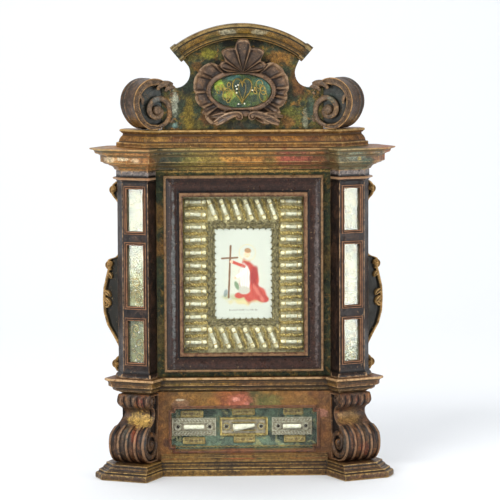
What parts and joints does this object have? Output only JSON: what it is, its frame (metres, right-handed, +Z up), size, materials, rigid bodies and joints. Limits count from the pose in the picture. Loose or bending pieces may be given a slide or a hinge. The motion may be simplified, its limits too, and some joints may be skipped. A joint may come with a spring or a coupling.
{
  "type": "standing reliquary",
  "caption": "Altar-shaped wooden reliquary with a glazed main window, glazed pilasters, a low relic case, scroll consoles and an arched crest over an oval cartouche.",
  "frame": {"origin": "bottom centre of the bounding box, on the surface the plinth stands on", "axes": "+X to the viewer's right seen from the front, +Y to the flat back, +Z up"},
  "size_m": [0.412, 0.1242, 0.6088],
  "materials": {
    "marbled_wood": "marbled paint and worn gilding, satin varnish",
    "green_marbled_wood": "green and ochre marbled paint, satin varnish",
    "violet_pilaster": "dark violet-grey lacquer with copper edges, worn satin",
    "aubergine_frame": "dark aubergine lacquer with copper fillets, glossy",
    "carved_scroll": "bronze and violet lacquer over gesso, worn gilt edges",
    "carved_leaf": "mauve-brown bronze paint, worn ridges",
    "gilt_wing": "gilt carving over green marbled ground, rubbed",
    "relic_card": "aged card, matt",
    "marbled_paper": "marbled paper, matt",
    "print_paper": "coloured print on card, matt",
    "paper_rolls": "white silk-paper rolls with gilt paper bands",
    "gold_braid": "tarnished gold braid",
    "silver_lace": "tarnished silver and gold lace",
    "glass": "clear old window glass"
  },
  "bodies": {
    "root": {"plinth": "marbled_wood", "predella_body": "marbled_wood", "predella_paper": "marbled_paper", "predella_glass": "glass", "relic_mount_left": "silver_lace", "relic_mount_centre": "silver_lace", "relic_mount_right": "silver_lace", "scroll_console_right": "carved_scroll", "scroll_console_left": "carved_scroll", "ledge_moulding": "marbled_wood", "case_body": "green_marbled_wood", "pilaster_right": "violet_pilaster", "pilaster_left": "violet_pilaster", "niche_glass_low_right": "glass", "niche_paper_low_right": "marbled_paper", "niche_glass_low_left": "glass", "niche_paper_low_left": "marbled_paper", "niche_glass_middle_right": "glass", "niche_paper_middle_right": "marbled_paper", "niche_glass_middle_left": "glass", "niche_paper_middle_left": "marbled_paper", "niche_glass_high_right": "glass", "niche_paper_high_right": "marbled_paper", "niche_glass_high_left": "glass", "niche_paper_high_left": "marbled_paper", "side_wing_right": "gilt_wing", "side_wing_left": "gilt_wing", "window_frame": "aubergine_frame", "window_glass": "glass", "relic_tray": "relic_card", "roll_column_right": "paper_rolls", "roll_column_left": "paper_rolls", "roll_row_low": "paper_rolls", "roll_row_high": "paper_rolls", "braid_border": "gold_braid", "print_card": "print_paper", "cornice": "marbled_wood", "attic_moulding": "marbled_wood", "pediment_board": "green_marbled_wood", "arch_moulding": "marbled_wood", "attic_scroll_right": "carved_scroll", "attic_scroll_left": "carved_scroll", "cartouche": "carved_leaf", "cartouche_paper": "marbled_paper", "cartouche_glass": "glass"}
  },
  "joints": []
}
